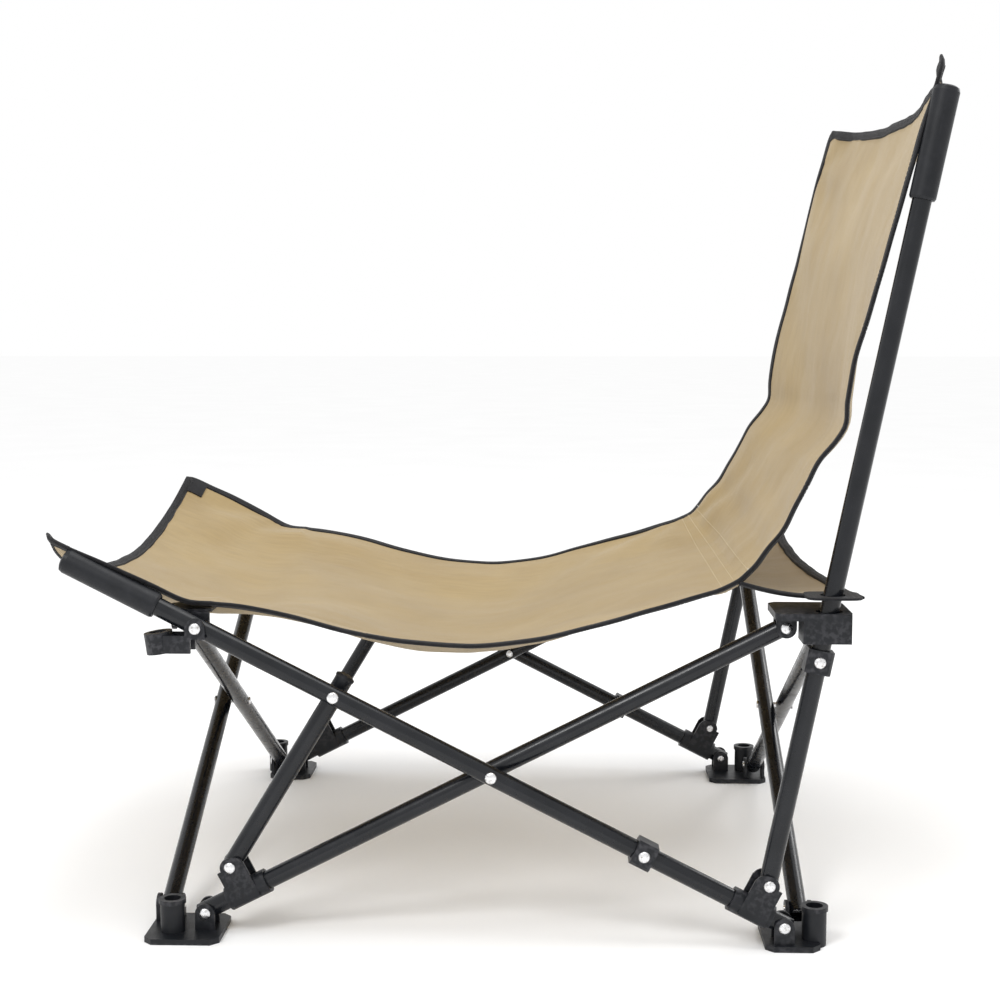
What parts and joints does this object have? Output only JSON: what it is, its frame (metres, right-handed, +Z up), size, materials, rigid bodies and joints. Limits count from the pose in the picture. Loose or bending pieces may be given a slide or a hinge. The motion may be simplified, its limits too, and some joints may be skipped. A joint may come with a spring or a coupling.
{
  "type": "folding camp chair",
  "caption": "Low folding camp chair: crossed tube side, front and rear frames, plastic hubs and feet, leaning back posts, one tan cloth sling",
  "frame": {"origin": "on the floor, at the middle of the open chair's footprint box", "axes": "+Z up, the front faces -Y, +X is the sitter's left"},
  "size_m": [0.6014, 0.7556, 0.7434],
  "materials": {
    "tube_paint": "gloss black",
    "black_plastic": "moulded, satin",
    "rivet_steel": "bright",
    "sling_cloth": "plain weave"
  },
  "bodies": {
    "foot_front_left": {"foot_front_left": "black_plastic", "rivets_foot_front_left": "rivet_steel"},
    "foot_rear_left": {"foot_rear_left": "black_plastic", "rivets_foot_rear_left": "rivet_steel"},
    "hub_front_left": {"hub_front_left": "black_plastic", "rivets_hub_front_left": "rivet_steel"},
    "hub_rear_left": {"hub_rear_left": "black_plastic", "rivets_hub_rear_left": "rivet_steel"},
    "low_bar_left": {"low_bar_left": "tube_paint", "bar_spacer_left": "black_plastic"},
    "long_bar_left": {"long_bar_left": "tube_paint", "bar_collar_left": "black_plastic", "front_sleeve_left": "black_plastic", "rivets_long_bar_left": "rivet_steel"},
    "strut_left": {"strut_left": "tube_paint", "strut_cap_left": "black_plastic"},
    "post_left": {"post_left": "tube_paint", "post_collar_left": "black_plastic", "top_sleeve_left": "black_plastic", "rivets_post_left": "rivet_steel"},
    "front_slider_left": {"front_slider_left": "black_plastic", "rivets_front_slider_left": "rivet_steel"},
    "rear_slider_left": {"rear_slider_left": "black_plastic", "rivets_rear_slider_left": "rivet_steel"},
    "foot_front_right": {"foot_front_right": "black_plastic", "rivets_foot_front_right": "rivet_steel"},
    "foot_rear_right": {"foot_rear_right": "black_plastic", "rivets_foot_rear_right": "rivet_steel"},
    "hub_front_right": {"hub_front_right": "black_plastic", "rivets_hub_front_right": "rivet_steel"},
    "hub_rear_right": {"hub_rear_right": "black_plastic", "rivets_hub_rear_right": "rivet_steel"},
    "low_bar_right": {"low_bar_right": "tube_paint", "bar_spacer_right": "black_plastic"},
    "long_bar_right": {"long_bar_right": "tube_paint", "bar_collar_right": "black_plastic", "front_sleeve_right": "black_plastic", "rivets_long_bar_right": "rivet_steel"},
    "strut_right": {"strut_right": "tube_paint", "strut_cap_right": "black_plastic"},
    "post_right": {"post_right": "tube_paint", "post_collar_right": "black_plastic", "top_sleeve_right": "black_plastic", "rivets_post_right": "rivet_steel"},
    "front_slider_right": {"front_slider_right": "black_plastic", "rivets_front_slider_right": "rivet_steel"},
    "rear_slider_right": {"rear_slider_right": "black_plastic", "rivets_rear_slider_right": "rivet_steel"},
    "front_cross_bar_inner": {"front_cross_bar_inner": "tube_paint"},
    "front_cross_bar_outer": {"front_cross_bar_outer": "tube_paint", "rivet_front_cross": "rivet_steel"},
    "rear_cross_bar_inner": {"rear_cross_bar_inner": "tube_paint"},
    "rear_cross_bar_outer": {"rear_cross_bar_outer": "tube_paint", "rivet_rear_cross": "rivet_steel"},
    "seat_front": {"sling_seat_front": "sling_cloth"},
    "seat_rear": {"sling_seat_rear": "sling_cloth"},
    "backrest": {"sling_back": "sling_cloth", "sling_web": "sling_cloth"}
  },
  "joints": [
    {"name": "fold", "type": "hinge", "parent": "foot_front_left", "child": "low_bar_left", "pos_m": [0.2647, -0.2477, 0.019], "axis": [1, 0, 0], "range_deg": [0, 53]},
    {"name": "side_scissor_left", "type": "hinge", "parent": "low_bar_left", "child": "long_bar_left", "pos_m": [0.2847, 0, 0.14521], "axis": [-1, 0, 0], "range_deg": [0, 106]},
    {"name": "hub_rear_left_turn", "type": "hinge", "parent": "low_bar_left", "child": "hub_rear_left", "pos_m": [0.2647, 0.2477, 0.27142], "axis": [-1, 0, 0], "range_deg": [0, 53]},
    {"name": "hub_front_left_turn", "type": "hinge", "parent": "long_bar_left", "child": "hub_front_left", "pos_m": [0.2847, -0.2477, 0.27142], "axis": [1, 0, 0], "range_deg": [0, 53]},
    {"name": "foot_rear_left_turn", "type": "hinge", "parent": "long_bar_left", "child": "foot_rear_left", "pos_m": [0.2847, 0.2477, 0.019], "axis": [1, 0, 0], "range_deg": [0, 53]},
    {"name": "front_slider_left_slide", "type": "slide", "parent": "low_bar_left", "child": "front_slider_left", "axis": [0, 0.891, 0.454], "range_m": [0, 0.2024]},
    {"name": "strut_left_turn", "type": "hinge", "parent": "long_bar_left", "child": "strut_left", "pos_m": [0.2647, -0.13276, 0.21285], "axis": [1, 0, 0], "range_deg": [0, 82.19]},
    {"name": "rear_slider_left_slide", "type": "slide", "parent": "long_bar_left", "child": "rear_slider_left", "axis": [0, -0.891, 0.454], "range_m": [0, 0.072]},
    {"name": "post_left_turn", "type": "hinge", "parent": "rear_slider_left", "child": "post_left", "pos_m": [0.2847, 0.23456, 0.05488], "axis": [1, 0, 0], "range_deg": [0, 61.4]},
    {"name": "front_cross_bar_outer_turn", "type": "hinge", "parent": "foot_front_left", "child": "front_cross_bar_outer", "pos_m": [0.2477, -0.2832, 0.019], "axis": [0, 1, 0], "range_deg": [0, 53]},
    {"name": "front_scissor", "type": "hinge", "parent": "front_cross_bar_outer", "child": "front_cross_bar_inner", "pos_m": [0, -0.2652, 0.14521], "axis": [0, -1, 0], "range_deg": [0, 106]},
    {"name": "foot_front_right_turn", "type": "hinge", "parent": "front_cross_bar_inner", "child": "foot_front_right", "pos_m": [-0.2477, -0.2652, 0.019], "axis": [0, 1, 0], "range_deg": [0, 53]},
    {"name": "hub_front_right_turn", "type": "hinge", "parent": "front_cross_bar_outer", "child": "hub_front_right", "pos_m": [-0.2477, -0.2832, 0.27142], "axis": [0, -1, 0], "range_deg": [0, 53]},
    {"name": "low_bar_right_turn", "type": "hinge", "parent": "foot_front_right", "child": "low_bar_right", "pos_m": [-0.2647, -0.2477, 0.019], "axis": [1, 0, 0], "range_deg": [0, 53]},
    {"name": "side_scissor_right", "type": "hinge", "parent": "low_bar_right", "child": "long_bar_right", "pos_m": [-0.2847, 0, 0.14521], "axis": [-1, 0, 0], "range_deg": [0, 106]},
    {"name": "hub_rear_right_turn", "type": "hinge", "parent": "low_bar_right", "child": "hub_rear_right", "pos_m": [-0.2647, 0.2477, 0.27142], "axis": [-1, 0, 0], "range_deg": [0, 53]},
    {"name": "foot_rear_right_turn", "type": "hinge", "parent": "long_bar_right", "child": "foot_rear_right", "pos_m": [-0.2847, 0.2477, 0.019], "axis": [1, 0, 0], "range_deg": [0, 53]},
    {"name": "front_slider_right_slide", "type": "slide", "parent": "low_bar_right", "child": "front_slider_right", "axis": [0, 0.891, 0.454], "range_m": [0, 0.2024]},
    {"name": "strut_right_turn", "type": "hinge", "parent": "long_bar_right", "child": "strut_right", "pos_m": [-0.2647, -0.13276, 0.21285], "axis": [1, 0, 0], "range_deg": [0, 82.19]},
    {"name": "rear_slider_right_slide", "type": "slide", "parent": "long_bar_right", "child": "rear_slider_right", "axis": [0, -0.891, 0.454], "range_m": [0, 0.072]},
    {"name": "post_right_turn", "type": "hinge", "parent": "rear_slider_right", "child": "post_right", "pos_m": [-0.2847, 0.23456, 0.05488], "axis": [1, 0, 0], "range_deg": [0, 61.4]},
    {"name": "rear_cross_bar_inner_turn", "type": "hinge", "parent": "foot_rear_left", "child": "rear_cross_bar_inner", "pos_m": [0.2477, 0.2652, 0.019], "axis": [0, 1, 0], "range_deg": [0, 53]},
    {"name": "rear_scissor", "type": "hinge", "parent": "rear_cross_bar_inner", "child": "rear_cross_bar_outer", "pos_m": [0, 0.2832, 0.14521], "axis": [0, -1, 0], "range_deg": [0, 106]},
    {"name": "seat_front_swing", "type": "hinge", "parent": "long_bar_left", "child": "seat_front", "pos_m": [0.2847, -0.362, 0.325], "axis": [-1, 0, 0], "range_deg": [0, 76.71], "deforming": ["sling_seat_front"]},
    {"name": "backrest_swing", "type": "hinge", "parent": "post_left", "child": "backrest", "pos_m": [0.2847, 0.366, 0.743], "axis": [1, 0, 0], "range_deg": [0, 0.5], "deforming": ["sling_back", "sling_web"]},
    {"name": "seat_rear_swing", "type": "hinge", "parent": "post_left", "child": "seat_rear", "pos_m": [0.2847, 0.207, 0.31], "axis": [-1, 0, 0], "range_deg": [0, 47.54], "deforming": ["sling_seat_rear"]}
  ],
  "couplings": [
    {"joint": "side_scissor_left", "follows": "fold", "ratio": 2},
    {"joint": "hub_rear_left_turn", "follows": "fold", "ratio": 1},
    {"joint": "hub_front_left_turn", "follows": "fold", "ratio": 1},
    {"joint": "foot_rear_left_turn", "follows": "fold", "ratio": 1},
    {"joint": "front_slider_left_slide", "follows": "fold", "m_per_rad": 0.2188},
    {"joint": "strut_left_turn", "follows": "fold", "ratio": 1.5508},
    {"joint": "rear_slider_left_slide", "follows": "fold", "m_per_rad": 0.077836},
    {"joint": "post_left_turn", "follows": "fold", "ratio": 1.1585},
    {"joint": "front_cross_bar_outer_turn", "follows": "fold", "ratio": 1},
    {"joint": "front_scissor", "follows": "fold", "ratio": 2},
    {"joint": "foot_front_right_turn", "follows": "fold", "ratio": 1},
    {"joint": "hub_front_right_turn", "follows": "fold", "ratio": 1},
    {"joint": "low_bar_right_turn", "follows": "fold", "ratio": 1},
    {"joint": "side_scissor_right", "follows": "fold", "ratio": 2},
    {"joint": "hub_rear_right_turn", "follows": "fold", "ratio": 1},
    {"joint": "foot_rear_right_turn", "follows": "fold", "ratio": 1},
    {"joint": "front_slider_right_slide", "follows": "fold", "m_per_rad": 0.2188},
    {"joint": "strut_right_turn", "follows": "fold", "ratio": 1.5508},
    {"joint": "rear_slider_right_slide", "follows": "fold", "m_per_rad": 0.077836},
    {"joint": "post_right_turn", "follows": "fold", "ratio": 1.1585},
    {"joint": "rear_cross_bar_inner_turn", "follows": "fold", "ratio": 1},
    {"joint": "rear_scissor", "follows": "fold", "ratio": 2},
    {"joint": "seat_front_swing", "follows": "fold", "ratio": 1.4474},
    {"joint": "backrest_swing", "follows": "fold", "ratio": 0.009434},
    {"joint": "seat_rear_swing", "follows": "fold", "ratio": 0.89698}
  ]
}
